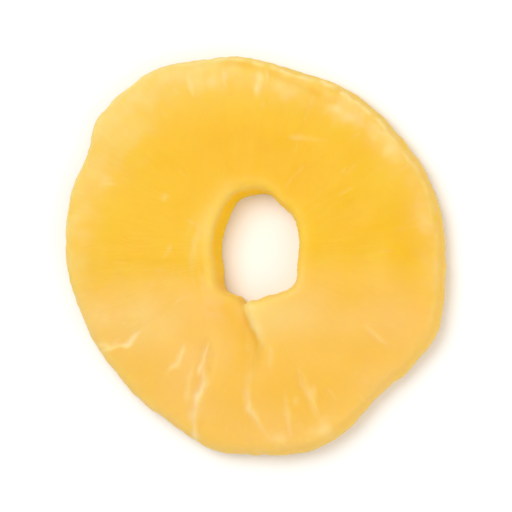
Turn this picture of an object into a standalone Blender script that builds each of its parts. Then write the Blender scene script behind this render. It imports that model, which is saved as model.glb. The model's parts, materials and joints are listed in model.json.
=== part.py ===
"""A dried pineapple ring, lying on its underside with its better face up.

Units are metres and +Z is up. The ring rests on z = 0, with the middle of its outline over the origin.
Seen from above, +X is its right side and +Y its top, and angles are degrees anticlockwise from +X.
"""

import math
from collections import namedtuple

import bmesh
import bpy
from mathutils import Vector, noise

NAME = "pineapple_ring"
MM = 0.001

# Outline: a mean radius, swells as (number around, height, direction), and local lobes and dents
MEAN_RADIUS = 37.7 * MM
OUTLINE_SWELLS = (
    (1, 0.6 * MM, 101.0),
    (2, 1.8 * MM, 129.5),
)
OUTLINE_LOBES = (
    # direction, half width in degrees, height
    (20.0, 18.0, 0.9 * MM),
    (77.0, 11.0, -1.4 * MM),
    (180.0, 18.0, -0.4 * MM),
    (218.0, 24.0, -0.6 * MM),
    (258.0, 7.0, 0.6 * MM),
    (272.0, 22.0, 0.9 * MM),
    (290.0, 7.0, 0.5 * MM),
    (313.0, 13.0, -2.3 * MM),
    (338.0, 7.0, 1.0 * MM),
)
PROUD_LOBE_FROM, PROUD_LOBE_RISE = 100.0, 24.0
PROUD_LOBE_TO, PROUD_LOBE_FALL = 148.0, 9.0
PROUD_LOBE_HEIGHT = 1.8 * MM
NOTCH_DIRECTION, NOTCH_HALF_WIDTH, NOTCH_DEPTH = 150.0, 7.0, 0.5 * MM
SCALLOP_HEIGHT = 0.3 * MM
SCALLOP_PITCH = 3.4

# Hole: an upright oval whose lower end is squarer and runs out into a small V
HOLE_CENTRE = Vector((1.6 * MM, 1.6 * MM))
HOLE_HALF_WIDTH = 8.1 * MM
HOLE_HALF_HEIGHT = 10.4 * MM
HOLE_LOBES = (
    (60.0, 16.0, -0.8 * MM),
    (118.0, 14.0, 0.6 * MM),
    (228.0, 14.0, 1.3 * MM),
    (257.4, 5.0, 1.0 * MM),
    (283.0, 8.0, -0.5 * MM),
    (315.0, 15.0, 1.3 * MM),
)

# Section: the slice is thickest round the hole and thins towards its rim
THICKNESS = 8.2 * MM
RIM_THINNING = 1.7 * MM
RIM_THINNING_FROM = 0.5
RIM_ROUND, RIM_FULLNESS = 3.4 * MM, 2.4
LIP_ROUND, LIP_FULLNESS = 1.25 * MM, 2.2
WAIST = 0.42
UNDER_ROUND_SHARE = 0.55

# Relief of the two faces: a low swell along the hole's lip, and the flesh's own unevenness
LIP_SWELL, LIP_SWELL_OFFSET, LIP_SWELL_WIDTH = 0.25 * MM, 1.6 * MM, 2.0 * MM
FACE_HOLLOW = 0.35 * MM
FRUITLET_HEIGHT = 0.55 * MM
FRUITLET_PITCH = 2.6
FLESH_HEIGHT = 0.3 * MM
FLESH_PITCH = 5.5 * MM
UNDER_DEPTH = 1.1 * MM
UNDER_FLAT_SHARE = 0.16

# Crease: it runs from the V of the hole down the face, steep on its right, with a raised flank there.
# Split: a narrow one at the lower left, which deepens towards the rim
Groove = namedtuple(
    "Groove", "route depth end_depth left_width right_width flank_height flank_offset flank_width flank_fades"
)
CREASE = Groove(
    route=(
        (-1.4 * MM, -9.2 * MM),
        (0.3 * MM, -13.8 * MM),
        (2.1 * MM, -17.4 * MM),
        (1.3 * MM, -21.0 * MM),
        (0.0 * MM, -25.0 * MM),
        (0.4 * MM, -34.5 * MM),
    ),
    depth=2.0 * MM,
    end_depth=0.4 * MM,
    left_width=4.0 * MM,
    right_width=0.9 * MM,
    flank_height=0.55 * MM,
    flank_offset=2.8 * MM,
    flank_width=3.4 * MM,
    flank_fades=(0.1, 0.6),
)
SPLIT = Groove(
    route=(
        (-7.8 * MM, -18.2 * MM),
        (-8.4 * MM, -23.5 * MM),
        (-10.2 * MM, -29.4 * MM),
        (-10.7 * MM, -36.4 * MM),
    ),
    depth=0.35 * MM,
    end_depth=1.0 * MM,
    left_width=1.2 * MM,
    right_width=1.2 * MM,
    flank_height=0.3 * MM,
    flank_offset=2.2 * MM,
    flank_width=1.2 * MM,
    flank_fades=(0.9, 1.0),
)

# Mesh: spokes round the ring, and steps along each stretch of a spoke's section
SPOKES = 132
FACE_STEPS = 19
RIM_STEPS = 9
LIP_STEPS = 7
UNDER_STEPS = 6

FLESH_COLOUR = (0.973, 0.571, 0.041, 1.0)
FLESH_ROUGHNESS = 0.42


def smooth_step(low, high, value):
    """Goes smoothly from 0 at low to 1 at high."""
    share = min(max((value - low) / (high - low), 0.0), 1.0)
    return share * share * (3.0 - 2.0 * share)


def bell(distance, half_width):
    """A soft bump of height 1, about twice half_width across."""
    return math.exp(-((distance / half_width) ** 2))


def turn_between(direction, other):
    """Degrees from one direction to another, the short way round."""
    return (direction - other + 180.0) % 360.0 - 180.0


def unit(direction):
    """The flat unit vector at an angle in degrees."""
    return Vector((math.cos(math.radians(direction)), math.sin(math.radians(direction))))


def lobes(direction, table):
    """The height that a table of lobes adds at a direction."""
    return sum(height * bell(turn_between(direction, at), width) for at, width, height in table)


def outline_radius(direction):
    """The ring's outer radius, from its centre."""
    swells = sum(
        height * math.cos(count * math.radians(direction - at)) for count, height, at in OUTLINE_SWELLS
    )
    proud = smooth_step(0.0, PROUD_LOBE_RISE, direction - PROUD_LOBE_FROM)
    proud *= smooth_step(0.0, PROUD_LOBE_FALL, PROUD_LOBE_TO - direction)
    notch = NOTCH_DEPTH * bell(turn_between(direction, NOTCH_DIRECTION), NOTCH_HALF_WIDTH)
    scallops = SCALLOP_HEIGHT * noise.noise((unit(direction) * SCALLOP_PITCH).to_3d())
    return (
        MEAN_RADIUS
        + swells
        + lobes(direction, OUTLINE_LOBES)
        + PROUD_LOBE_HEIGHT * proud
        - notch
        + scallops
    )


def hole_radius(direction):
    """The hole's radius, from the hole's centre."""
    along = unit(direction)
    oval = 1.0 / math.hypot(along.x / HOLE_HALF_WIDTH, along.y / HOLE_HALF_HEIGHT)
    return oval + lobes(direction, HOLE_LOBES)


def route_place(point, route):
    """How far a point is from a route, which side it is on, and how far along the nearest place lies.

    The side is 1 to the left of the way the route runs and -1 to the right, and the place goes from 0 to 1.
    """
    best = None
    stretches = len(route) - 1
    for index in range(stretches):
        start, end = Vector(route[index]), Vector(route[index + 1])
        run = end - start
        share = min(max((point - start).dot(run) / run.length_squared, 0.0), 1.0)
        away = point - (start + share * run)
        if best is None or away.length < best[0]:
            side = 1.0 if run.x * away.y - run.y * away.x >= 0.0 else -1.0
            best = (away.length, side, (index + share) / stretches)
    return best


def groove_relief(point, groove):
    """A groove's height on the face: below 0 along its route, and above 0 on the flank to the left of it.

    Both routes run down the face, so the left of the way they run is the ring's right side.
    """
    distance, side, place = route_place(point, groove.route)
    on_flank = side > 0.0
    width = groove.right_width if on_flank else groove.left_width
    depth = groove.depth + (groove.end_depth - groove.depth) * smooth_step(0.0, 1.0, place)
    relief = -depth * bell(distance, width)
    if on_flank:
        fading = 1.0 - smooth_step(*groove.flank_fades, place)
        relief += fading * groove.flank_height * bell(distance - groove.flank_offset, groove.flank_width)
    return relief


def fruitlets(point, layer):
    """The low radial swells that the eyes of the fruit leave, from about -1 to 1."""
    around = point.normalized() * FRUITLET_PITCH
    return noise.noise(Vector((around.x, around.y, layer)))


def flesh(point, layer):
    """The uneven flesh between the swells, from about -1 to 1."""
    return noise.noise(Vector((point.x / FLESH_PITCH, point.y / FLESH_PITCH, layer)))


def face_height(point, distance, share):
    """The upper face's height at a place on a spoke, at a distance from the hole and a share of the way."""
    height = THICKNESS - RIM_THINNING * smooth_step(RIM_THINNING_FROM, 1.0, share)
    height += LIP_SWELL * bell(distance - LIP_SWELL_OFFSET, LIP_SWELL_WIDTH)
    height -= FACE_HOLLOW * math.sin(math.pi * share)
    height += FRUITLET_HEIGHT * share * fruitlets(point, 0.5)
    height += FLESH_HEIGHT * flesh(point, 2.5)
    return height + groove_relief(point, CREASE) + groove_relief(point, SPLIT)


def under_height(point, share):
    """The underside's height: flat where it lay while drying, with low hollows between."""
    uneven = 0.6 * fruitlets(point, 7.5) * share + 0.6 * flesh(point, 9.5)
    return UNDER_DEPTH * max(0.0, uneven - UNDER_FLAT_SHARE)


def rounded(steps, reach, fullness):
    """A rounded edge as (distance in from the edge, height share), from the face down to the underside."""
    points = []
    power = 2.0 / fullness
    for step in range(1, steps):
        turn = math.pi * (0.5 - step / steps)
        out, up = math.cos(turn) ** power, math.copysign(abs(math.sin(turn)) ** power, turn)
        below = up < 0.0
        span = WAIST if below else 1.0 - WAIST
        inward = reach * (UNDER_ROUND_SHARE if below else 1.0)
        points.append((inward * (1.0 - out), WAIST + span * up))
    return points


def section(length):
    """A spoke's closed section as (distance from the hole, height share), round from the upper inner edge."""
    face_from, face_to = LIP_ROUND, length - RIM_ROUND
    under_from, under_to = LIP_ROUND * UNDER_ROUND_SHARE, length - RIM_ROUND * UNDER_ROUND_SHARE
    points = [(face_from + (face_to - face_from) * i / FACE_STEPS, 1.0) for i in range(FACE_STEPS + 1)]
    points += [(length - inward, up) for inward, up in rounded(RIM_STEPS, RIM_ROUND, RIM_FULLNESS)]
    points += [(under_to + (under_from - under_to) * i / UNDER_STEPS, 0.0) for i in range(UNDER_STEPS + 1)]
    points += [(inward, up) for inward, up in reversed(rounded(LIP_STEPS, LIP_ROUND, LIP_FULLNESS))]
    return points


def spoke_points(direction):
    """The points of the section that stands on the spoke at one direction."""
    inner = HOLE_CENTRE + unit(direction) * hole_radius(direction)
    outer = unit(direction) * outline_radius(direction)
    run = outer - inner
    points = []
    for distance, up in section(run.length):
        share = distance / run.length
        point = inner + run * share
        low, high = under_height(point, share), face_height(point, distance, share)
        points.append(Vector((point.x, point.y, low + (high - low) * up)))
    return points


def centred(loops):
    """Shifts the loops so that the middle of their box is over the origin and their lowest point on z = 0."""
    points = [point for loop in loops for point in loop]
    lows = [min(point[axis] for point in points) for axis in range(3)]
    highs = [max(point[axis] for point in points) for axis in range(3)]
    shift = Vector(((lows[0] + highs[0]) / 2, (lows[1] + highs[1]) / 2, lows[2]))
    return [[point - shift for point in loop] for loop in loops]


def ring_mesh():
    """The whole ring as one closed skin, from a loop of section points at every spoke."""
    model = bmesh.new()
    loops = centred([spoke_points(360.0 * spoke / SPOKES) for spoke in range(SPOKES)])
    rows = [[model.verts.new(point) for point in loop] for loop in loops]
    for spoke, row in enumerate(rows):
        following = rows[(spoke + 1) % SPOKES]
        for index in range(len(row)):
            after = (index + 1) % len(row)
            model.faces.new((row[index], row[after], following[after], following[index]))
    bmesh.ops.recalc_face_normals(model, faces=model.faces)
    mesh = bpy.data.meshes.new(NAME)
    model.to_mesh(mesh)
    model.free()
    mesh.shade_smooth()
    return mesh


def flesh_material():
    """Soft golden flesh with a satin skin."""
    material = bpy.data.materials.new("pineapple_flesh")
    material.use_nodes = True
    shader = material.node_tree.nodes["Principled BSDF"]
    shader.inputs["Base Color"].default_value = FLESH_COLOUR
    shader.inputs["Roughness"].default_value = FLESH_ROUGHNESS
    shader.inputs["Metallic"].default_value = 0.0
    return material


def main():
    """Clears the scene and adds the ring."""
    for thing in list(bpy.data.objects):
        bpy.data.objects.remove(thing, do_unlink=True)
    ring = bpy.data.objects.new(NAME, ring_mesh())
    ring.data.materials.append(flesh_material())
    bpy.context.scene.collection.objects.link(ring)


main()
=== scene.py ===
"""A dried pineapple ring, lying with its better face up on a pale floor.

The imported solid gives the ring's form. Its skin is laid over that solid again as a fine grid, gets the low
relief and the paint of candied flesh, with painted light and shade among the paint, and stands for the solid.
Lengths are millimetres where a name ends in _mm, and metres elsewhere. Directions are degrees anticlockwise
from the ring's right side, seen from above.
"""

import json
import logging
import math
import random
from dataclasses import dataclass
from enum import Enum

import bpy
import numpy as np
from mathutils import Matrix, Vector, noise
from mathutils.bvhtree import BVHTree


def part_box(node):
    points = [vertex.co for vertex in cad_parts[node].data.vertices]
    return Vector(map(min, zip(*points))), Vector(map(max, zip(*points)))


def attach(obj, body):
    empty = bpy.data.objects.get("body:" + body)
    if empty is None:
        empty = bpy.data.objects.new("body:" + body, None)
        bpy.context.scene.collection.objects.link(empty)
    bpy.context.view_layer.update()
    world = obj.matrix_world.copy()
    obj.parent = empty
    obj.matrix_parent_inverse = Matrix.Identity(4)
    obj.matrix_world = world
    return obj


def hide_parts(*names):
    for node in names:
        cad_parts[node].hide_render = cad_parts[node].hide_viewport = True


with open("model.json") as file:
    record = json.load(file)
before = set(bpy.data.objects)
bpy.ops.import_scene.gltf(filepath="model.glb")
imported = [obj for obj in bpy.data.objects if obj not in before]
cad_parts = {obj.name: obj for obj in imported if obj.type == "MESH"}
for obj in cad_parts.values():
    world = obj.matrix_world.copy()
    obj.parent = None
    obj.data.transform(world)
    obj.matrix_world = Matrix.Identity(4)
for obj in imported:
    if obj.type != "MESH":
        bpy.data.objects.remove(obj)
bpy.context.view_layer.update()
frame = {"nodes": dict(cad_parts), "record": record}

Array = np.ndarray
Point = tuple[float, float]
Colour = tuple[float, float, float, float]
Thing = bpy.types.Object
Socket = bpy.types.NodeSocket

MM = 0.001
NODE = "pineapple_ring"
PIECE = "pineapple_ring_skin"
log = logging.getLogger(PIECE)


class Paint(Enum):
    """What is painted on the skin's points, by the name of the attribute that carries it."""

    # Pale flesh, with painted light through the rim and a painted highlight on the crease's facet.
    PALE = "pale"
    # Orange haze, with the painted reflection low on the ring.
    HAZE = "haze"
    # The wall's orange, with painted glow that lifts the shade on the hole's wall and the side.
    WALL = "wall"
    # Frosted streaks and spots, with painted highlights along the crest and the crease's edge.
    STREAK = "streak"
    # Deeper flesh, with painted shade in the crease's fold and the bead's groove.
    DEEP = "deep"


def smooth_step(low: float, high: float, values: Array) -> Array:
    """Goes smoothly from 0 at low to 1 at high, whichever of the two is the larger."""
    share = np.clip((values - low) / (high - low), 0.0, 1.0)
    return share * share * (3.0 - 2.0 * share)


def bell(distance: Array, half_width: float) -> Array:
    """A soft bump of height 1, about twice half_width across."""
    return np.exp(-((distance / half_width) ** 2))


def noise_at(*axes: Array) -> Array:
    """Smooth noise from about -1 to 1.

    Args:
        axes: three arrays of one shape, the places to read the noise at.

    Returns:
        The noise at each place, in the shape of the arrays.
    """
    places = np.stack(np.broadcast_arrays(*axes), -1)
    values = [noise.noise(place) for place in places.reshape(-1, 3).tolist()]
    return np.array(values).reshape(places.shape[:-1])


def blurred(values: Array, around: float, along: float) -> Array:
    """Smooths a grid that closes on itself both ways.

    Args:
        values: the grid, with the way round the ring first and the way along a section second.
        around: the blur's half width in steps round the ring.
        along: the blur's half width in steps along a section.

    Returns:
        The smoothed grid.
    """
    for axis, width in ((0, around), (1, along)):
        count = values.shape[axis]
        waves = np.fft.fftfreq(count) * 2.0 * math.pi
        keep = np.exp(-0.5 * (waves * width) ** 2)
        shape = [1] * values.ndim
        shape[axis] = count
        values = np.fft.ifft(np.fft.fft(values, axis=axis) * keep.reshape(shape), axis=axis).real
    return values


def turn_apart(turn: Array, degrees: float) -> Array:
    """Degrees from a direction to each turn in radians, the short way round."""
    return (np.degrees(turn) - degrees + 180.0) % 360.0 - 180.0


def route_distance(x: Array, y: Array, route: tuple[Point, ...]) -> tuple[Array, Array]:
    """Measures how far each place is from a route.

    Args:
        x: places to the right.
        y: places to the top.
        route: the route's corners.

    Returns:
        The distance of each place, above 0 to the left of the way the route runs and below 0 to its right,
        and the share of the route at which the nearest point lies.
    """
    best = np.full(x.shape, np.inf)
    place = np.zeros(x.shape)
    stretches = len(route) - 1
    for index in range(stretches):
        (x0, y0), (x1, y1) = route[index], route[index + 1]
        run_x, run_y = x1 - x0, y1 - y0
        share = np.clip(((x - x0) * run_x + (y - y0) * run_y) / (run_x**2 + run_y**2), 0.0, 1.0)
        away_x, away_y = x - x0 - share * run_x, y - y0 - share * run_y
        away = np.copysign(np.hypot(away_x, away_y), run_x * away_y - run_y * away_x)
        nearer = np.abs(away) < np.abs(best)
        best = np.where(nearer, away, best)
        place = np.where(nearer, (index + share) / stretches, place)
    return best, place


def placed(name: str, data: bpy.types.ID) -> Thing:
    """Puts a new object with its data into the scene.

    Args:
        name: the object's name.
        data: its mesh, lamp or lens.

    Returns:
        The object.
    """
    thing = bpy.data.objects.new(name, data)
    bpy.context.scene.collection.objects.link(thing)
    return thing


@dataclass(frozen=True)
class Fibres:
    """A draw of noise that runs out from the core to the rim, as the flesh's bundles of fibre do.

    Over 2 pi, count is about how many bundles stand round the ring. A bundle keeps its shape for length_mm of
    its run, and layer picks the draw.
    """

    count: float
    length_mm: float
    layer: float
    bend: float = 0.05
    bend_size_mm: float = 11.0
    bend_layer: float = 5.0
    fall: float = 0.6

    def on(self, grid: "Grid") -> Array:
        """Reads the noise, whose bundles bend a little from side to side.

        Args:
            grid: the smooth skin.

        Returns:
            The noise at each point, from about -1 to 1.
        """
        size, layer = self.bend_size_mm, np.full(grid.x.shape, self.layer + self.bend_layer)
        turn = grid.turn + self.bend * noise_at(grid.x / size, grid.y / size, layer)
        run = (grid.reach + self.fall * grid.z) / self.length_mm + self.layer
        return noise_at(self.count * np.cos(turn), self.count * np.sin(turn), run)


@dataclass(frozen=True)
class Lumps:
    """A draw of noise without a grain, of one size each way. Its layer picks the draw."""

    size_mm: float
    layer: float

    def on(self, grid: "Grid") -> Array:
        """The noise at each point, from about -1 to 1."""
        size = self.size_mm
        return noise_at(grid.x / size, grid.y / size, grid.z / size + self.layer)


Mix = tuple[tuple[float, Fibres | Lumps], ...]
RIBS = Fibres(13.0, 13.0, 0.0)


@dataclass
class Grid:
    """The ring's skin as a grid of points: spokes round the hole, and rows along each spoke's section."""

    points: Array
    hole_centre: Point
    upward_from: Point = (-0.1, 0.5)
    upright_from: Point = (0.35, 0.9)
    warp_mm: float = 0.55
    warp_draws: tuple[Lumps, Lumps] = (Lumps(2.3, 51.0), Lumps(2.3, 57.0))
    ragged_draw: Lumps = Lumps(1.5, 83.0)
    patchy_draw: Lumps = Lumps(2.4, 89.0)

    def __post_init__(self) -> None:
        """Works out what every point's place says, in millimetres, and the noise that several marks share."""
        self.x, self.y, self.z = (self.points[..., axis] / MM for axis in range(3))
        from_x = self.x - self.hole_centre[0] / MM
        from_y = self.y - self.hole_centre[1] / MM
        self.turn: Array = np.arctan2(from_y, from_x)
        self.reach: Array = np.hypot(from_x, from_y)
        inner = self.reach.min(axis=1, keepdims=True)
        outer = self.reach.max(axis=1, keepdims=True)
        self.share: Array = (self.reach - inner) / (outer - inner)
        self.inner_gap: Array = self.reach - inner
        self.outer_gap: Array = outer - self.reach
        self.normals = self.find_normals()
        self.upward = smooth_step(*self.upward_from, self.normals[..., 2])
        upright = smooth_step(*self.upright_from, 1.0 - np.abs(self.normals[..., 2]))
        self.outward: Array = upright * (self.share > 0.5)
        self.inward: Array = upright * (self.share <= 0.5)
        self.warped_x: Array = self.x + self.warp_mm * self.warp_draws[0].on(self)
        self.warped_y: Array = self.y + self.warp_mm * self.warp_draws[1].on(self)
        self.ragged = self.ragged_draw.on(self)
        self.patchy = self.patchy_draw.on(self)

    def find_normals(self) -> Array:
        """Works out which way the skin faces from each point's neighbours.

        Returns:
            The outward normal at each point.
        """
        around = np.roll(self.points, -1, axis=0) - np.roll(self.points, 1, axis=0)
        along = np.roll(self.points, -1, axis=1) - np.roll(self.points, 1, axis=1)
        normal = np.cross(along, around)
        return normal / np.linalg.norm(normal, axis=-1, keepdims=True)

    def near(self, degrees: float, reach: float) -> Array:
        """1 towards a direction from the middle of the hole, fading over about reach degrees to each side."""
        return bell(turn_apart(self.turn, degrees), reach)

    def mixed(self, mix: Mix) -> Array:
        """Draws of noise, each times its share."""
        return sum(share * draw.on(self) for share, draw in mix)


@dataclass(frozen=True)
class SolidSampler:
    """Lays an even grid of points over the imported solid, by lines from inside it to its skin."""

    spokes: int = 840
    face_rows: int = 45
    rim_rows: int = 33
    under_rows: int = 17
    wall_rows: int = 23
    rim_turning_mm: float = 4.2
    wall_turning_mm: float = 2.0
    waist_share: float = 0.42
    facet_blur_around: float = 3.4
    facet_blur_along: float = 1.1

    def sample(self, solid: Thing, hole_centre: Point) -> Grid:
        """Reads the solid's skin.

        Args:
            solid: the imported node.
            hole_centre: the middle of the hole, over which the spokes meet.

        Returns:
            The smoothed grid.
        """
        low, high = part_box(solid.name)
        waist = low.z + self.waist_share * (high.z - low.z)
        skin = BVHTree.FromObject(solid, bpy.context.evaluated_depsgraph_get())
        centre = Vector((*hole_centre, waist))
        turns = [2.0 * math.pi * spoke / self.spokes for spoke in range(self.spokes)]
        loops = [self.section(skin, centre, turn) for turn in turns]
        points = blurred(np.array(loops), self.facet_blur_around, self.facet_blur_along)
        points[..., 2] = np.maximum(points[..., 2], 0.0)
        return Grid(points, hole_centre)

    def section(self, skin: BVHTree, centre: Vector, turn: float) -> list[list[float]]:
        """Reads the solid's section along one spoke.

        Args:
            skin: the solid's faces.
            centre: the middle of the hole at the waist's height.
            turn: the spoke's direction in radians.

        Returns:
            The section's points in order: over the face, down the rim, under the ring and up the hole's wall.
        """
        out = Vector((math.cos(turn), math.sin(turn), 0.0))
        wall = self.hit(skin, centre, out)
        rim = self.hit(skin, wall + out * self.wall_turning_mm * MM, out)
        near = (wall - centre).length + self.wall_turning_mm * MM
        far = (rim - centre).length - self.rim_turning_mm * MM
        up = Vector((0.0, 0.0, 1.0))
        above = (self.hit(skin, centre + out * far, up) - centre).z
        low = centre.z
        face = np.linspace(near, far, self.face_rows, endpoint=False)
        points = [self.hit(skin, centre + out * reach, up) for reach in face]
        for row in range(self.rim_rows):
            across, rise = self.over_edge(row / self.rim_rows, self.rim_turning_mm * MM, above, low)
            points.append(self.hit(skin, centre + out * far, out * across + up * rise))
        under = np.linspace(far, near, self.under_rows, endpoint=False)
        points += [self.hit(skin, centre + out * reach, -up) for reach in under]
        above = (self.hit(skin, centre + out * near, up) - centre).z
        for row in range(self.wall_rows):
            share = 1.0 - row / self.wall_rows
            across, rise = self.over_edge(share, self.wall_turning_mm * MM, above, low)
            points.append(self.hit(skin, centre + out * near, up * rise - out * across))
        return [list(point) for point in points]

    @staticmethod
    def over_edge(share: float, across: float, above: float, below: float) -> Point:
        """Walks at an even pace over a square edge, from straight above its middle to straight below it.

        Args:
            share: how much of the way is done.
            across: how far the edge stands from its middle.
            above: how high its upper face lies over the middle.
            below: how low its lower face lies under the middle.

        Returns:
            The place from the middle, across and up.
        """
        walked = share * (2.0 * across + above + below)
        if walked < across:
            return walked, above
        if walked > across + above + below:
            return 2.0 * across + above + below - walked, -below
        return across, across + above - walked

    @staticmethod
    def hit(skin: BVHTree, start: Vector, direction: Vector) -> Vector:
        """Follows a line from inside the ring, or from inside its hole, to the skin.

        Args:
            skin: the solid's faces.
            start: where the line starts.
            direction: where it goes.

        Returns:
            The place where it meets the skin.
        """
        place = skin.ray_cast(start, direction.normalized())[0]
        if place is None:
            raise RuntimeError(f"no skin from {tuple(start)} towards {tuple(direction)}")
        return place


@dataclass(frozen=True)
class Streak:
    """A split between two bundles of fibre: one edge stands up, pale, and the other is sunk."""

    route_mm: tuple[Point, ...]
    width_mm: float
    depth_mm: float
    paleness: float
    end_share: float = 0.04
    taper_power: float = 0.8
    end_width: float = 0.4
    raggedness: float = 0.4
    lifted: Point = (0.6, 0.7)
    sunk: Point = (-0.8, 0.8)
    evenness: float = 0.75
    patchiness: float = 0.6

    def on(self, grid: Grid) -> tuple[Array, Array]:
        """Works out the streak on the upper face.

        Args:
            grid: the smooth skin.

        Returns:
            The height that it adds, in millimetres, and how pale it is.
        """
        distance, place = route_distance(grid.warped_x, grid.warped_y, self.route_mm)
        place = np.clip(self.end_share + (1.0 - 2.0 * self.end_share) * place, 0.0, 1.0)
        taper = np.sin(math.pi * place) ** self.taper_power
        width = self.width_mm * (self.end_width + (1.0 - self.end_width) * taper)
        across = distance / (width * (1.0 + self.raggedness * grid.ragged))
        (lifted_at, lifted_width), (sunk_at, sunk_width) = self.lifted, self.sunk
        rise = bell(across - lifted_at, lifted_width) - bell(across - sunk_at, sunk_width)
        up = grid.upward * taper
        pale = bell(across, 1.0) * np.clip(self.evenness + self.patchiness * grid.patchy, 0.0, 1.0)
        return self.depth_mm * rise * up, self.paleness * pale * up


@dataclass(frozen=True)
class Slits:
    """Short slits that run with the fibres over both faces, more of them towards the rim."""

    count: int = 110
    seed: int = 11
    spread: float = 0.85
    crowding: float = 1.6
    lengths_mm: Point = (0.8, 3.0)
    widths_mm: Point = (0.2, 0.36)
    depths_mm: Point = (0.02, 0.07)
    shades: Point = (0.02, 0.16)
    leans: Point = (-0.25, 0.25)
    upper_share: float = 0.6
    under_strength: float = 2.2
    spokes_each_way: int = 14
    facing_from: Point = (0.2, 0.6)

    def on(self, grid: Grid) -> tuple[Array, Array]:
        """Scatters the slits.

        Args:
            grid: the smooth skin.

        Returns:
            The height that they add, in millimetres, and how pale they are.
        """
        draw = random.Random(self.seed)
        height, pale = np.zeros(grid.x.shape), np.zeros(grid.x.shape)
        spokes = grid.x.shape[0]
        window = np.arange(-self.spokes_each_way, self.spokes_each_way + 1)
        for _ in range(self.count):
            spoke = draw.randrange(spokes)
            share = 1.0 - self.spread * draw.random() ** self.crowding
            length = draw.uniform(*self.lengths_mm)
            width = draw.uniform(*self.widths_mm)
            depth = draw.uniform(*self.depths_mm)
            shade = draw.uniform(*self.shades)
            lean = draw.uniform(*self.leans)
            facing = 1.0 if draw.random() < self.upper_share else -1.0
            if facing < 0.0:
                depth, shade = depth * self.under_strength, shade * self.under_strength
            near = (window + spoke) % spokes
            reach = grid.reach[near]
            along = reach - grid.reach[spoke].min() - share * np.ptp(grid.reach[spoke])
            apart = grid.turn[near] - 2.0 * math.pi * spoke / spokes
            apart = (apart + math.pi) % (2.0 * math.pi) - math.pi
            across = reach * apart - lean * along
            shape = np.exp(-((across / width) ** 2) - (along / (0.5 * length)) ** 4)
            shape *= smooth_step(*self.facing_from, facing * grid.normals[near][..., 2])
            height[near] -= depth * shape
            pale[near] = np.maximum(pale[near], shade * shape)
        return height, pale


@dataclass(frozen=True)
class Crease:
    """The fold down the face from the V of the hole: painted shade, deep in colour, in the fold, and a
    painted highlight on its edge and on the facet at its right.
    """

    route_mm: tuple[Point, ...] = (
        (-1.4, -9.2), (0.3, -13.8), (2.1, -17.4), (1.3, -21.0), (0.0, -25.0), (0.4, -34.5)
    )
    flank_from_mm: Point = (-0.3, 0.5)
    # The fold's deep colour, left of the edge, is painted shade.
    shade_middle_mm: float = -1.4
    shade_width_mm: float = 2.6
    shade_start: float = 0.5
    shade_starts: Point = (0.0, 0.25)
    shade_fades: Point = (0.4, 1.1)
    # The edge's pale line and its frost colour are a painted highlight.
    edge_middle_mm: float = 0.9
    edge_width_mm: float = 1.5
    edge_fades: Point = (0.25, 0.5)
    edge_highlight: float = 0.35
    # The facet's paleness is a painted highlight, where it faces the key lamp.
    facet_centre_mm: Point = (3.0, -11.5)
    facet_reach_mm: Point = (8.4, 4.4)
    facet_highlight: float = 0.85

    def on(self, grid: Grid) -> tuple[Array, Array, Array]:
        """Works out the crease's painted shade and painted highlights on the upper face.

        Args:
            grid: the smooth skin.

        Returns:
            How deep the painted shade, how pale the painted highlight and how frosted the painted edge
            highlight make each point.
        """
        distance, place = route_distance(grid.warped_x, grid.warped_y, self.route_mm)
        on_flank = smooth_step(*self.flank_from_mm, distance)
        fading = self.shade_start + (1.0 - self.shade_start) * smooth_step(*self.shade_starts, place)
        fading *= 1.0 - smooth_step(*self.shade_fades, place)
        # Painted shade in the fold; below, painted highlights on the edge and the facet.
        deep = (1.0 - on_flank) * bell(distance - self.shade_middle_mm, self.shade_width_mm) * fading
        fading = 1.0 - smooth_step(*self.edge_fades, place)
        edge = bell(distance - self.edge_middle_mm, self.edge_width_mm) * fading
        facet = bell(grid.x - self.facet_centre_mm[0], self.facet_reach_mm[0])
        facet *= bell(grid.y - self.facet_centre_mm[1], self.facet_reach_mm[1])
        pale = on_flank * np.maximum(edge, self.facet_highlight * facet)
        frost = self.edge_highlight * on_flank * edge
        return deep * grid.upward, pale * grid.upward, frost * grid.upward


@dataclass(frozen=True)
class Patch:
    """A patch of one paint, such as a frosted spot where the skin has dried, or a patch of the painted
    reflection low on the ring.
    """

    centre_mm: Point
    radius_mm: float
    strength: float
    paint: Paint = Paint.STREAK
    stretch: float = 1.5
    breaks: float = 0.9
    lump_share: float = 0.8
    lump_layer: float = 8.1
    raggedness: float = 0.5
    whole_from: float = 0.2

    def on(self, grid: Grid) -> Array:
        """Works out the patch on the upper face, stretched along the rim.

        Args:
            grid: the smooth skin.

        Returns:
            How strongly it shows at each point.
        """
        lump = self.lump_share * self.radius_mm
        layer = np.full(grid.x.shape, self.lump_layer)
        ragged = 1.0 + self.raggedness * noise_at(grid.x / lump, grid.y / lump, layer)
        (x, y), away = self.centre_mm, math.hypot(*self.centre_mm)
        outward = ((grid.x - x) * x + (grid.y - y) * y) / away
        along = ((grid.x - x) * y - (grid.y - y) * x) / away
        distance = np.hypot(outward, along / self.stretch) * ragged
        broken = np.clip(1.0 + self.breaks * (grid.patchy - self.whole_from), 0.0, 1.0)
        return self.strength * bell(distance, self.radius_mm) * broken * grid.upward


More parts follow.
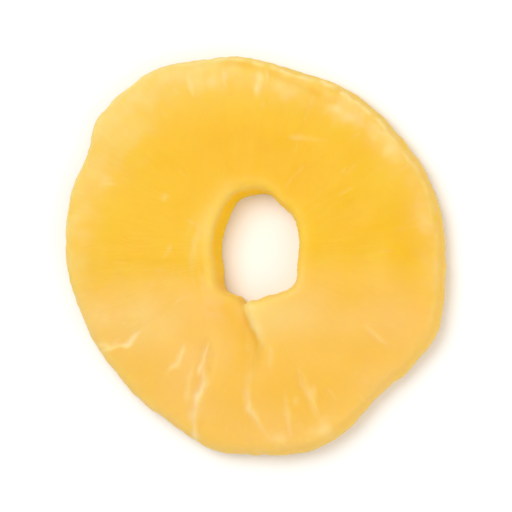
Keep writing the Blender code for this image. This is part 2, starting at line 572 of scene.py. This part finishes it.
@dataclass(frozen=True)
class Crest:
    """The frayed pale line that runs along the top of the rim, a little inside its edge: dried sugar, and
    partly a painted highlight on the rim's top.
    """

    height_mm: float = 0.2
    # The line's frost colour is partly a painted highlight on the rim's top.
    frost: float = 0.62
    gap_mm: float = 1.1
    width_mm: float = 0.36
    at: float = 66.0
    reach: float = 48.0
    elsewhere: float = 0.12
    wander_mm: Mix = ((0.6, Fibres(7.0, 60.0, 44.0)), (0.35, Fibres(21.0, 60.0, 47.0)))
    fray: Fibres = Fibres(17.0, 40.0, 41.0)
    fray_from: Point = (-0.7, 0.25)

    def on(self, grid: Grid) -> Array:
        """Works out the line.

        Args:
            grid: the smooth skin.

        Returns:
            How strongly it shows at each point.
        """
        frayed = smooth_step(*self.fray_from, self.fray.on(grid))
        # Strongest at the upper right, partly as a painted highlight.
        frayed *= self.elsewhere + (1.0 - self.elsewhere) * grid.near(self.at, self.reach)
        away = grid.outer_gap - self.gap_mm + grid.mixed(self.wander_mm)
        return bell(away, self.width_mm) * frayed * grid.upward


@dataclass(frozen=True)
class BeadGroove:
    """The groove that sets off a bead along the top and the upper right of the rim, with painted shade
    deepening its colour.
    """

    depth_mm: float = 0.2
    # How deep the groove's painted shade is.
    shade_depth: float = 0.6
    gap_mm: float = 1.9
    wider_mm: float = 1.2
    wider_at: float = 58.0
    wider_reach: float = 22.0
    width_mm: float = 0.9
    at: float = 72.0
    reach: float = 34.0
    ends: Point = (1.0, 0.6)
    wander_mm: Mix = ((0.5, Fibres(5.0, 60.0, 67.0)), (0.3, Fibres(17.0, 60.0, 71.0)))
    breaks: Fibres = Fibres(9.0, 60.0, 73.0)
    breaks_from: Point = (-0.7, 0.0)

    def on(self, grid: Grid) -> Array:
        """Works out the groove.

        Args:
            grid: the smooth skin.

        Returns:
            How strongly it shows at each point.
        """
        gap = self.gap_mm + self.wider_mm * grid.near(self.wider_at, self.wider_reach)
        line = bell(grid.outer_gap - gap + grid.mixed(self.wander_mm), self.width_mm)
        along = smooth_step(*self.ends, np.abs(turn_apart(grid.turn, self.at)) / self.reach)
        return line * along * smooth_step(*self.breaks_from, self.breaks.on(grid)) * grid.upward


@dataclass(frozen=True)
class LipFrays:
    """Frayed lines that run side by side along the lip, left of the hole."""

    height_mm: float = 0.05
    paleness: float = 0.62
    at: float = 180.0
    reach: float = 40.0
    gap_mm: float = 3.3
    width_mm: float = 1.9
    pitch_mm: float = 0.95
    count: float = 3.5
    layer: float = 127.0
    shows_from: Point = (-0.3, 0.4)
    wander_mm: Mix = ((0.5, Lumps(4.0, 121.0)),)

    def on(self, grid: Grid) -> Array:
        """Works out the lines.

        Args:
            grid: the smooth skin.

        Returns:
            How strongly they show at each point.
        """
        gap = grid.inner_gap + grid.mixed(self.wander_mm)
        around = self.count * np.cos(grid.turn), self.count * np.sin(grid.turn)
        lines = smooth_step(*self.shows_from, noise_at(*around, gap / self.pitch_mm + self.layer))
        nearby = grid.near(self.at, self.reach) * bell(grid.inner_gap - self.gap_mm, self.width_mm)
        return lines * nearby * grid.upward


@dataclass(frozen=True)
class Flesh:
    """The relief of the flesh itself, in draws of noise that each have their height in millimetres."""

    fibres_mm: Mix = ((0.06, RIBS), (0.014, Fibres(36.0, 7.0, 20.0)))
    core_share: float = 0.2
    swell_mm: Mix = ((0.13, Lumps(6.5, 4.0)), (0.04, Lumps(2.4, 9.0)))
    pits_mm: float = 0.015
    pits: Lumps = Lumps(0.95, 13.0)
    pits_below: float = -0.1
    rim_mm: Mix = (
        (0.221, Fibres(8.0, 60.0, 97.0)),
        (0.119, Fibres(17.0, 60.0, 99.0)),
        (0.15, Fibres(24.0, 4.0, 31.0)),
        (0.06, Fibres(38.0, 5.0, 33.0)),
        (0.12, Lumps(3.0, 35.0)),
    )
    wall_mm: Mix = ((0.12, Fibres(16.0, 3.0, 37.0)),)

    def on(self, grid: Grid) -> Array:
        """Works out the flesh's relief.

        Args:
            grid: the smooth skin.

        Returns:
            The height at each point in millimetres.
        """
        height = grid.mixed(self.fibres_mm) * (self.core_share + (1.0 - self.core_share) * grid.share)
        height += grid.mixed(self.swell_mm)
        height += self.pits_mm * np.minimum(self.pits.on(grid) - self.pits_below, 0.0)
        return height + grid.mixed(self.rim_mm) * grid.outward + grid.mixed(self.wall_mm) * grid.inward


@dataclass(frozen=True)
class RimTone:
    """Along the rim: a pale band, partly the thin rim's own paler flesh and partly painted light shining
    through it, widest at the upper left towards the key lamp; an orange haze elsewhere; and the side, with
    the wall's painted glow.
    """

    # The band is partly painted light through the thin rim, wider and paler towards the key lamp.
    band_mm: float = 3.1
    wider_mm: float = 4.6
    wide_at: float = 128.0
    wide_reach: float = 68.0
    narrow_paleness: float = 0.15
    ribs: Mix = ((0.15, RIBS),)
    patchiness: float = 0.4
    haze_strength: float = 0.5
    haze_band_mm: float = 4.4
    haze_patchiness: float = 0.5
    side_strength: float = 0.85
    side_uneven: Mix = ((0.22, Fibres(22.0, 6.0, 103.0)), (0.18, Lumps(3.5, 107.0)))
    side_paleness: float = 0.15
    side_depth: float = 0.8
    side_glow: float = 0.5

    def wide(self, grid: Grid) -> Array:
        """1 where the pale band's painted light is widest, towards the key lamp, and 0 where it gives way to
        the orange haze.
        """
        return grid.near(self.wide_at, self.wide_reach)

    def pale(self, grid: Grid) -> Array:
        """Works out the pale band, partly painted light through the thin rim.

        Args:
            grid: the smooth skin.

        Returns:
            How pale it makes each point.
        """
        wide = self.wide(grid)
        pale = bell(grid.outer_gap, self.band_mm + self.wider_mm * wide)
        pale *= self.narrow_paleness + (1.0 - self.narrow_paleness) * wide
        return pale * (1.0 + grid.mixed(self.ribs) + self.patchiness * grid.patchy)

    def haze(self, grid: Grid) -> Array:
        """How strongly the orange haze shows at each point."""
        haze = self.haze_strength * (1.0 - self.wide(grid)) * bell(grid.outer_gap, self.haze_band_mm)
        return haze * (1.0 + self.haze_patchiness * grid.patchy)

    def side(self, grid: Grid) -> Array:
        """How strongly the side's deeper tone and the wall's painted glow show, where the outer edge stands
        upright.
        """
        return grid.outward * (self.side_strength + grid.mixed(self.side_uneven))


@dataclass(frozen=True)
class LipTone:
    """Round the hole: a pale lip, wider and paler at the upper left and below."""

    paleness: float = 0.45
    wide_paleness: float = 0.25
    band_mm: float = 1.7
    wider_mm: float = 1.7
    wide_at: tuple[float, ...] = (152.0, -62.0)
    wide_reach: float = 50.0
    facing_from: Point = (0.1, 0.5)
    patchiness: float = 0.3

    def pale(self, grid: Grid) -> Array:
        """Works out the pale lip.

        Args:
            grid: the smooth skin.

        Returns:
            How pale it makes each point.
        """
        wide = np.maximum.reduce([grid.near(at, self.wide_reach) for at in self.wide_at])
        pale = self.paleness + self.wide_paleness * wide
        pale *= smooth_step(*self.facing_from, grid.normals[..., 2])
        pale *= bell(grid.inner_gap, self.band_mm + self.wider_mm * wide)
        return pale * (1.0 + self.patchiness * grid.patchy)


@dataclass(frozen=True)
class FaceTone:
    """Over the face: deep flesh round the core, a mottled middle, and a hazier, more orange lower part, whose
    haze is a painted reflection.
    """

    core_at: float = 85.0
    core_reach: float = 80.0
    core_share: float = 0.34
    core_width: float = 0.26
    core_depth: float = 0.85
    mottle_depth: float = 0.175
    mottle: Mix = ((0.225, Lumps(9.0, 17.0)), (-0.05, RIBS))
    lower_from_mm: Point = (2.0, -14.0)
    low_depth: float = 0.75
    # The haze low on the ring is a painted reflection, as of glass in front of it.
    low_reflection: float = 0.6
    reflection_uneven: Mix = ((0.4, Lumps(8.0, 61.0)),)
    clear_centre_mm: Point = (11.0, -23.0)
    clear_reach_mm: float = 9.0
    clear_share: float = 0.45

    def deep(self, grid: Grid) -> Array:
        """Works out the deep flesh.

        Args:
            grid: the smooth skin.

        Returns:
            How deep the colour is at each point.
        """
        core = bell(grid.share - self.core_share, self.core_width)
        core *= self.core_depth * grid.near(self.core_at, self.core_reach) * grid.upward
        mottled = self.mottle_depth + grid.mixed(self.mottle)
        return np.maximum.reduce([core, mottled, self.low_depth * self.lower(grid)])

    def haze(self, grid: Grid) -> Array:
        """Works out the painted reflection, a haze low on the ring, which is thinner to the right of the
        crease.

        Args:
            grid: the smooth skin.

        Returns:
            How strongly it shows at each point.
        """
        x, y = self.clear_centre_mm
        clear = self.clear_share * bell(np.hypot(grid.x - x, grid.y - y), self.clear_reach_mm)
        haze = self.low_reflection * self.lower(grid) * (1.0 - clear)
        return haze * (1.0 + grid.mixed(self.reflection_uneven))

    def lower(self, grid: Grid) -> Array:
        """1 in the lower part of the ring, and 0 in the upper."""
        return smooth_step(*self.lower_from_mm, grid.y)


STREAKS = (
    Streak(((-7.6, -17.2), (-9.1, -21.6), (-9.4, -23.6)), 0.5, 0.1, 0.75),
    Streak(
        ((-8.6, -22.0), (-8.3, -25.0), (-9.9, -27.4), (-10.6, -30.6), (-10.7, -34.2), (-10.3, -38.0)),
        0.95,
        0.2,
        1.0,
    ),
    Streak(((-7.6, -22.8), (-7.9, -26.4)), 0.55, 0.06, 0.5),
    Streak(((-21.4, -14.6), (-23.7, -16.9), (-29.6, -18.2)), 0.6, 0.14, 0.9),
    Streak(((-25.4, -15.9), (-27.1, -17.4), (-31.4, -17.3)), 0.5, 0.08, 0.5),
    Streak(((-12.3, -17.9), (-13.4, -20.4), (-15.5, -22.8)), 0.65, 0.1, 0.65),
    Streak(((-10.7, -21.4), (-11.6, -25.8), (-11.8, -29.6)), 0.6, 0.06, 0.35),
    Streak(((4.3, -17.4), (5.0, -22.6)), 0.8, 0.05, 0.3),
    Streak(((0.6, -22.6), (0.1, -27.8), (0.4, -30.0), (2.2, -32.3), (4.0, -34.8)), 0.75, 0.12, 0.6),
    Streak(((10.4, -22.4), (11.3, -25.6), (13.0, -28.2), (13.7, -32.6)), 0.75, 0.1, 0.45),
    Streak(((7.5, -26.5), (8.1, -30.8), (8.8, -36.0)), 0.6, 0.06, 0.3),
    Streak(((22.9, -14.3), (25.0, -16.0), (27.5, -18.4)), 0.5, 0.08, 0.4),
    Streak(((13.1, -25.2), (12.9, -28.2), (14.3, -32.2)), 0.6, 0.06, 0.35),
    Streak(((-26.8, 13.4), (-28.4, 14.1), (-30.2, 14.6)), 0.4, 0.06, 0.4),
    Streak(((-11.4, 30.2), (-11.9, 32.6), (-12.9, 35.8)), 0.45, 0.08, 0.4),
    Streak(((1.4, 29.8), (1.7, 35.4)), 0.7, 0.08, 0.75),
    Streak(((3.0, 31.0), (3.1, 35.6)), 0.4, 0.06, 0.55),
    Streak(((-5.0, 32.0), (-5.2, 34.0), (-6.0, 36.6)), 0.4, 0.06, 0.38),
    Streak(((29.0, 15.0), (33.7, 17.4)), 0.4, 0.06, 0.3),
    Streak(((31.2, 4.3), (36.7, 5.6)), 0.4, 0.06, 0.3),
    Streak(((7.4, 22.0), (10.3, 21.8), (15.6, 20.9)), 0.42, 0.03, 0.3),
    Streak(((-16.9, -1.4), (-15.7, 0.0), (-15.2, 1.7)), 0.4, 0.05, 0.4),
)
PATCHES = (
    Patch((7.0, 31.5), 2.0, 0.34),
    Patch((18.0, 27.2), 1.8, 0.66),
    Patch((20.8, 25.7), 1.3, 0.6),
    Patch((24.4, 22.9), 1.2, 0.7),
    Patch((27.4, 19.8), 1.7, 0.5),
    Patch((34.0, 6.6), 1.6, 0.25),
    Patch((14.2, -33.9), 1.7, 0.6),
    Patch((6.3, -35.7), 1.2, 0.35),
    Patch((-28.8, -11.6), 1.5, 0.3),
    Patch((-28.9, 14.2), 0.9, 0.3),
    Patch((-26.0, 23.5), 4.6, 0.7, Paint.PALE, stretch=2.0, breaks=0.3),
    Patch((-16.6, 11.0), 0.6, 0.3),
    Patch((-7.6, 33.4), 1.1, 0.3),
    Patch((9.6, -28.6), 0.8, 0.25, stretch=0.8),
    # These four patches, low on the ring, are painted reflection, pale and hazy.
    Patch((-28.5, -13.2), 2.6, 0.35, Paint.PALE),
    Patch((-21.5, -12.5), 7.0, 0.42, Paint.PALE, stretch=1.0, breaks=0.4),
    Patch((-20.7, -12.5), 8.0, 0.8, Paint.HAZE, stretch=1.0, breaks=0.3),
    Patch((-7.0, -10.5), 4.0, 0.85, Paint.HAZE),
)


@dataclass(frozen=True)
class Relief:
    """The low relief of candied flesh, as a height along the skin's normal, and the paint with it."""

    flesh: Flesh = Flesh()
    crest: Crest = Crest()
    bead: BeadGroove = BeadGroove()
    frays: LipFrays = LipFrays()
    slits: Slits = Slits()
    crease: Crease = Crease()
    rim_tone: RimTone = RimTone()
    lip_tone: LipTone = LipTone()
    face_tone: FaceTone = FaceTone()
    # How much the crease's painted shade keeps out the pale bands and the haze.
    crease_shade_hides_bands: float = 0.75
    crease_shade_hides_haze: float = 0.5
    streaks: tuple[Streak, ...] = STREAKS
    patches: tuple[Patch, ...] = PATCHES

    def heights(self, grid: Grid) -> tuple[Array, dict[Paint, Array]]:
        """Works out the relief and the paint.

        Args:
            grid: the smooth skin.

        Returns:
            The height at each point in millimetres, and each paint's strength from 0 to 1.
        """
        crest, bead, frays = self.crest.on(grid), self.bead.on(grid), self.frays.on(grid)
        # The crease gives painted shade in its fold and painted highlights on its edge and facet.
        groove, crease_highlight, frost = self.crease.on(grid)
        marks = [mark.on(grid) for mark in (*self.streaks, self.slits)]
        height = self.flesh.on(grid) + sum(rise for rise, _ in marks)
        height += self.crest.height_mm * crest + self.frays.height_mm * frays
        height -= self.bead.depth_mm * bead

        # The bead groove's painted shade deepens its colour and keeps the pale bands out.
        rim, side, bead = self.rim_tone, self.rim_tone.side(grid), self.bead.shade_depth * bead
        pale = np.maximum(rim.pale(grid), self.lip_tone.pale(grid))
        pale *= 1.0 - (1.0 - rim.side_paleness) * side
        pale *= 1.0 - np.maximum(self.crease_shade_hides_bands * groove, bead)
        deep = [self.face_tone.deep(grid), groove, bead, rim.side_depth * side]
        # The frost colour also carries the painted highlights of the crest and the crease's edge.
        frosted = [self.crest.frost * crest, frost, *(shade for _, shade in marks)]
        paints = {
            Paint.PALE: np.maximum.reduce([pale, crease_highlight, self.frays.paleness * frays]),
            # The haze paint carries the painted reflection low on the ring.
            Paint.HAZE: np.maximum(self.face_tone.haze(grid), rim.haze(grid)),
            # The hole's wall and the side take the wall paint, with its painted glow.
            Paint.WALL: np.maximum(grid.inward, rim.side_glow * side),
            Paint.STREAK: np.maximum.reduce(frosted),
            Paint.DEEP: np.maximum.reduce(deep),
        }
        for patch in self.patches:
            paints[patch.paint] = np.maximum(paints[patch.paint], patch.on(grid))
        paints[Paint.HAZE] *= 1.0 - self.crease_shade_hides_haze * groove
        return height, {paint: np.clip(values, 0.0, 1.0) for paint, values in paints.items()}


@dataclass(frozen=True)
class Speckle:
    """A material's noise without a grain, at a scale to the millimetre."""

    scale: float
    detail: float
    roughness: float = 0.55


@dataclass(frozen=True)
class Strands:
    """A material's noise along the fibres, with count as in Fibres, and its scale along them."""

    count: float
    along: float
    detail: float


@dataclass
class Wiring:
    """Adds a material's nodes and links them."""

    tree: bpy.types.NodeTree

    def add(self, kind: str, settings: dict[str, object] | None = None, **inputs: object) -> bpy.types.Node:
        """Adds a node.

        Args:
            kind: the node's type.
            settings: the node's own properties.
            inputs: what goes into its sockets, by name with _ for a blank, or by number as s0, s1 and so on.
                A socket is linked, and anything else is set.

        Returns:
            The node.
        """
        node = self.tree.nodes.new(kind)
        for name, value in (settings or {}).items():
            setattr(node, name, value)
        for name, value in inputs.items():
            number = name[1:]
            numbered = name[0] == "s" and number.isdigit()
            socket = node.inputs[int(number) if numbered else name.replace("_", " ")]
            if isinstance(value, Socket):
                self.tree.links.new(value, socket)
            else:
                socket.default_value = value
        return node

    def paint(self, paint: Paint, share: object = 1.0) -> Socket:
        """One of the skin's paints, from 0 to 1, times a share."""
        value = self.add("ShaderNodeAttribute", {"attribute_name": paint.value}).outputs["Fac"]
        return self.math("MULTIPLY", value, share)

    def math(self, operation: str, first: object, second: object = 0.0) -> Socket:
        """A sum of two numbers or sockets."""
        return self.add("ShaderNodeMath", {"operation": operation}, s0=first, s1=second).outputs[0]

    def vector(self, operation: str, first: object, second: object = (0.0, 0.0, 0.0)) -> Socket:
        """A sum of two vectors."""
        return self.add("ShaderNodeVectorMath", {"operation": operation}, s0=first, s1=second).outputs[0]

    def scaled(self, vector: Socket, factor: float) -> Socket:
        """A vector times a number."""
        made = self.add("ShaderNodeVectorMath", {"operation": "SCALE"}, Vector=vector, Scale=factor)
        return made.outputs[0]

    def noise(self, place: Socket, draw: Speckle) -> bpy.types.Node:
        """Noise at a place, whose number and whose colour both go from 0 to 1."""
        sizes = {"Scale": draw.scale, "Detail": draw.detail, "Roughness": draw.roughness}
        return self.add("ShaderNodeTexNoise", Vector=place, **sizes)

    def span(self, value: Socket, low: float, high: float, to: Point) -> Socket:
        """Maps low to high onto the two numbers of to, and holds beyond them."""
        ends = {"From_Min": low, "From_Max": high, "To_Min": to[0], "To_Max": to[1]}
        return self.add("ShaderNodeMapRange", Value=value, **ends).outputs[0]

    def blend(self, share: Socket, first: object, second: object) -> Socket:
        """Goes from the first colour to the second as share goes from 0 to 1."""
        made = self.add("ShaderNodeMix", {"data_type": "RGBA"}, s0=share, s6=first, s7=second)
        return made.outputs[2]


@dataclass(frozen=True)
class CandiedFlesh:
    """The finish of the ring: translucent golden flesh under a satin skin."""

    name: str = "candied_flesh"
    gold: Colour = (0.85, 0.535, 0.012, 1.0)
    # Deep also gives the painted shade in the crease's fold and the bead's groove.
    deep: Colour = (0.845, 0.48, 0.002, 1.0)
    # Pale is partly painted light through the rim and a painted highlight on the crease.
    pale: Colour = (0.855, 0.635, 0.2, 1.0)
    # The haze colour is a painted reflection where it lies low on the ring.
    haze: Colour = (0.87, 0.55, 0.165, 1.0)
    # Frost is also the painted highlight on the crest and the crease's edge.
    frost: Colour = (0.95, 0.77, 0.4, 1.0)
    # Brighter than the face's gold: the cut flesh's saturated orange, with painted glow that lifts the shade
    # on the hole's wall and the side.
    wall: Colour = (0.98, 0.59, 0.004, 1.0)
    subsurface: float = 0.85
    subsurface_scale: float = 0.004
    subsurface_radius: tuple[float, float, float] = (1.0, 0.75, 0.12)
    specular: float = 0.2
    coat: float = 0.05
    coat_roughness: float = 0.32
    fine: Strands = Strands(46.0, 0.16, 3.0)
    fine_span: Point = (0.5, 0.76)
    fine_paleness: float = 0.03
    broad: Strands = Strands(11.0, 0.06, 2.0)
    broad_span: Point = (0.5, 0.72)
    broad_paleness: float = 0.04
    strand_roughness: float = 0.55
    strand_warp: Speckle = Speckle(0.12, 1.0, 0.5)
    strand_warp_mm: float = 3.0
    cloud: Speckle = Speckle(0.11, 3.0)
    cloud_span: Point = (0.36, 0.66)
    cloud_depth: float = 0.6
    grain: Speckle = Speckle(2.6, 4.0, 0.62)
    grain_share: float = 0.6
    wall_glow_share: float = 0.75
    band_span: Point = (0.3, 0.7)
    band_shares: Point = (0.85, 1.0)
    streak_share: float = 0.9
    uneven_span: Point = (0.35, 0.65)
    roughness: Point = (0.36, 0.52)
    wall_roughness: float = 0.3
    grain_height: float = 0.00002
    fibre_height: float = 0.00004

    def material(self, hole_centre: Point) -> bpy.types.Material:
        """Makes the material.

        Args:
            hole_centre: the middle of the hole, from which the fibres run out.

        Returns:
            The material.
        """
        material = bpy.data.materials.new(self.name)
        material.use_nodes = True
        wires = Wiring(material.node_tree)
        place = wires.add("ShaderNodeTexCoord").outputs["Object"]
        place = wires.scaled(wires.vector("SUBTRACT", place, (*hole_centre, 0.0)), 1.0 / MM)
        fine = self.strands(wires, place, self.fine)
        broad = self.strands(wires, place, self.broad)
        cloud = wires.noise(place, self.cloud).outputs["Fac"]
        grain = wires.noise(place, self.grain).outputs["Fac"]

        colour = self.gold
        # The paints lay painted shade, painted highlights, painted glow and a painted reflection over the
        # flesh's own tones.
        for share, tone in (
            (wires.span(cloud, *self.cloud_span, (0.0, self.cloud_depth)), self.deep),
            (wires.paint(Paint.DEEP), self.deep),
            (wires.span(broad, *self.broad_span, (0.0, self.broad_paleness)), self.pale),
            (wires.span(fine, *self.fine_span, (0.0, self.fine_paleness)), self.pale),
            (wires.paint(Paint.WALL, self.wall_glow_share), self.wall),
            (wires.paint(Paint.HAZE), self.haze),
            (wires.paint(Paint.PALE, wires.span(fine, *self.band_span, self.band_shares)), self.pale),
            (wires.paint(Paint.STREAK, self.streak_share), self.frost),
        ):
            colour = wires.blend(share, colour, tone)

        uneven = wires.math("MULTIPLY", grain, self.grain_share)
        uneven = wires.math("ADD", uneven, wires.math("MULTIPLY", fine, 1.0 - self.grain_share))
        rough = wires.span(uneven, *self.uneven_span, self.roughness)
        rough = wires.math("ADD", rough, wires.paint(Paint.WALL, self.wall_roughness))
        bump = wires.add("ShaderNodeBump", Strength=1.0, Distance=self.grain_height, Height=grain)
        bump = wires.add(
            "ShaderNodeBump", Strength=1.0, Distance=self.fibre_height, Height=fine, Normal=bump.outputs[0]
        )
        shader = material.node_tree.nodes["Principled BSDF"]
        wires.tree.links.new(colour, shader.inputs["Base Color"])
        wires.tree.links.new(rough, shader.inputs["Roughness"])
        wires.tree.links.new(bump.outputs[0], shader.inputs["Normal"])
        for name, value in {
            "Subsurface Weight": self.subsurface,
            "Subsurface Scale": self.subsurface_scale,
            "Subsurface Radius": self.subsurface_radius,
            "Specular IOR Level": self.specular,
            "Coat Weight": self.coat,
            "Coat Roughness": self.coat_roughness,
        }.items():
            shader.inputs[name].default_value = value
        return material

    def strands(self, wires: Wiring, place: Socket, draw: Strands) -> Socket:
        """Noise that is drawn out from the core to the rim.

        Args:
            wires: the material's wiring.
            place: the place from the middle of the hole, in millimetres.
            draw: which strands.

        Returns:
            The noise, from 0 to 1.
        """
        warp = wires.noise(place, self.strand_warp).outputs["Color"]
        warp = wires.scaled(wires.vector("SUBTRACT", warp, (0.5, 0.5, 0.5)), self.strand_warp_mm)
        bent = wires.vector("MULTIPLY", wires.vector("ADD", place, warp), (1.0, 1.0, 0.0))
        reach = wires.add("ShaderNodeVectorMath", {"operation": "LENGTH"}, s0=bent).outputs["Value"]
        around = wires.scaled(wires.vector("NORMALIZE", bent), draw.count)
        height = wires.add("ShaderNodeSeparateXYZ", Vector=place).outputs["Z"]
        run = wires.math("MULTIPLY", wires.math("ADD", reach, height), draw.along)
        lift = wires.add("ShaderNodeCombineXYZ", Z=run).outputs[0]
        spread = Speckle(1.0, draw.detail, self.strand_roughness)
        return wires.noise(wires.vector("ADD", around, lift), spread).outputs["Fac"]


@dataclass
class PineappleRing:
    """The ring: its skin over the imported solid."""

    sampler: SolidSampler = SolidSampler()
    relief: Relief = Relief()
    flesh: CandiedFlesh = CandiedFlesh()
    map_strips: int = 2
    map_margin: float = 0.01

    def build(self) -> Thing:
        """Builds the skin, dresses it and puts it in the solid's place.

        Returns:
            The skin.
        """
        low, high = frame["record"]["physics"]["openings"][0]["box_m"]
        hole_centre = ((low[0] + high[0]) / 2.0, (low[1] + high[1]) / 2.0)
        grid = self.sampler.sample(frame["nodes"][NODE], hole_centre)
        height, paints = self.relief.heights(grid)
        points = grid.points + grid.normals * height[..., None] * MM
        points[..., 2] = np.maximum(points[..., 2], 0.0)
        skin = self.skin_object(points, paints)
        skin.data.materials.append(self.flesh.material(hole_centre))
        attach(skin, "root")
        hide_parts(NODE)
        return skin

    def skin_object(self, points: Array, paints: dict[Paint, Array]) -> Thing:
        """Makes the skin's mesh, with its paints and its map.

        Args:
            points: the grid of points, in metres.
            paints: each paint's strength at every point.

        Returns:
            The object.
        """
        spokes, rows = points.shape[:2]
        spoke, row = np.meshgrid(np.arange(spokes), np.arange(rows), indexing="ij")
        next_spoke, next_row = (spoke + 1) % spokes, (row + 1) % rows
        corners = ((spoke, row), (spoke, next_row), (next_spoke, next_row), (next_spoke, row))
        faces = np.stack([one * rows + other for one, other in corners], -1).reshape(-1, 4)
        mesh = bpy.data.meshes.new(PIECE)
        mesh.from_pydata(points.reshape(-1, 3).tolist(), [], faces.tolist())
        mesh.shade_smooth()
        for paint, values in paints.items():
            attribute = mesh.attributes.new(paint.value, "FLOAT", "POINT")
            attribute.data.foreach_set("value", values.reshape(-1).astype(np.float32))
        self.add_map(mesh, spokes, rows)
        return placed(PIECE, mesh)

    def add_map(self, mesh: bpy.types.Mesh, spokes: int, rows: int) -> None:
        """Maps the grid onto strips that lie one above another, each for its part of the way round the ring.

        Args:
            mesh: the skin's mesh.
            spokes: how many spokes the grid has.
            rows: how many rows the grid has.
        """
        strips, margin = self.map_strips, self.map_margin
        spoke, row = np.meshgrid(np.arange(spokes), np.arange(rows), indexing="ij")
        strip = spoke * strips // spokes
        start = strip * spokes // strips
        offsets = ((0, 0), (0, 1), (1, 1), (1, 0))
        u = np.stack([(spoke - start + one) * strips / spokes for one, _ in offsets], -1)
        v = np.stack([(row + other) / rows for _, other in offsets], -1)
        u = margin + (1.0 - 2.0 * margin) * u
        v = (strip[..., None] + margin + (1.0 - 2.0 * margin) * v) / strips
        layer = mesh.uv_layers.new(name="OFBake")
        layer.data.foreach_set("uv", np.stack([u, v], -1).reshape(-1).astype(np.float32))


@dataclass(frozen=True)
class SoftBox:
    """A large soft lamp that looks at the ring."""

    name: str
    place: tuple[float, float, float]
    size: float
    power: float

    def build(self) -> Thing:
        """Adds the lamp.

        Returns:
            The lamp.
        """
        lamp = bpy.data.lights.new(self.name, "AREA")
        lamp.shape = "DISK"
        lamp.size = self.size
        lamp.energy = self.power
        thing = placed(self.name, lamp)
        thing.location = self.place
        thing.rotation_mode = "QUATERNION"
        thing.rotation_quaternion = Vector(self.place).to_track_quat("Z", "Y")
        return thing


@dataclass
class Studio:
    """The pale floor, the soft light and the camera."""

    floor_half: float = 1.5
    floor_colour: Colour = (0.96, 0.96, 0.955, 1.0)
    floor_roughness: float = 0.55
    sky_colour: Colour = (1.0, 1.0, 1.0, 1.0)
    sky_strength: float = 0.60
    lamps: tuple[SoftBox, ...] = (
        SoftBox("key_softbox", (-0.16, 0.17, 0.54), 0.45, 1.65),
        SoftBox("fill_softbox", (0.34, -0.20, 0.38), 0.55, 0.85),
    )
    lean: float = 16.0
    lean_towards: float = -25.0
    distance: float = 1.1
    sensor: float = 36.0
    clip: Point = (0.01, 20.0)
    ring_share: float = 0.78
    centring_rounds: int = 3

    def build_floor(self) -> Thing:
        """Adds the floor, which isn't part of the ring.

        Returns:
            The floor.
        """
        half = self.floor_half
        mesh = bpy.data.meshes.new("floor")
        corners = [(-half, -half, 0.0), (half, -half, 0.0), (half, half, 0.0), (-half, half, 0.0)]
        mesh.from_pydata(corners, [], [(0, 1, 2, 3)])
        material = bpy.data.materials.new("pale_floor")
        material.use_nodes = True
        shader = material.node_tree.nodes["Principled BSDF"]
        shader.inputs["Base Color"].default_value = self.floor_colour
        shader.inputs["Roughness"].default_value = self.floor_roughness
        mesh.materials.append(material)
        floor = placed("floor", mesh)
        return floor

    def build_light(self) -> None:
        """Adds the lamps and a plain white sky."""
        for lamp in self.lamps:
            lamp.build()
        sky = bpy.data.worlds.new("sky")
        sky.use_nodes = True
        sky.node_tree.nodes["Background"].inputs["Color"].default_value = self.sky_colour
        sky.node_tree.nodes["Background"].inputs["Strength"].default_value = self.sky_strength
        bpy.context.scene.world = sky
        bpy.context.scene.view_settings.view_transform = "Standard"

    def build_camera(self, ring: Thing) -> Thing:
        """Adds the camera, looking down on the face along the photograph's line of sight.

        Args:
            ring: what the camera looks at, with the middle of what it sees of it in the middle of the frame.

        Returns:
            The camera.
        """
        lean, towards = math.radians(self.lean), math.radians(self.lean_towards)
        across = math.sin(lean)
        back = Vector((math.cos(towards) * across, math.sin(towards) * across, math.cos(lean)))
        turned = Vector((0.0, 0.0, 1.0)).rotation_difference(back)
        points = np.array([turned.inverted() @ vertex.co for vertex in ring.data.vertices])
        place = points.mean(axis=0) + (0.0, 0.0, self.distance)
        for _ in range(self.centring_rounds):
            away = points - place
            seen = away[:, :2] / -away[:, 2:]
            place[:2] += (seen.min(axis=0) + seen.max(axis=0)) / 2.0 * self.distance
        lens = bpy.data.cameras.new("camera")
        lens.lens, lens.sensor_width = self.sensor * self.ring_share / np.ptp(seen[:, 1]), self.sensor
        lens.clip_start, lens.clip_end = self.clip
        camera = placed("camera", lens)
        camera.location = turned @ Vector(place)
        camera.rotation_mode = "QUATERNION"
        camera.rotation_quaternion = turned
        bpy.context.scene.camera = camera
        return camera


def main() -> None:
    """Builds the ring and the studio in order."""
    logging.basicConfig(level=logging.INFO, format="%(name)s: %(message)s")
    ring = PineappleRing().build()
    log.info("%s: %d faces over %s", ring.name, len(ring.data.polygons), NODE)
    studio = Studio()
    floor = studio.build_floor()
    log.info("%s: %.1f m square", floor.name, 2.0 * studio.floor_half)
    studio.build_light()
    camera = studio.build_camera(ring)
    log.info("%s: %.3f m from the ring", camera.name, camera.location.length)


if __name__ == "__main__":
    main()
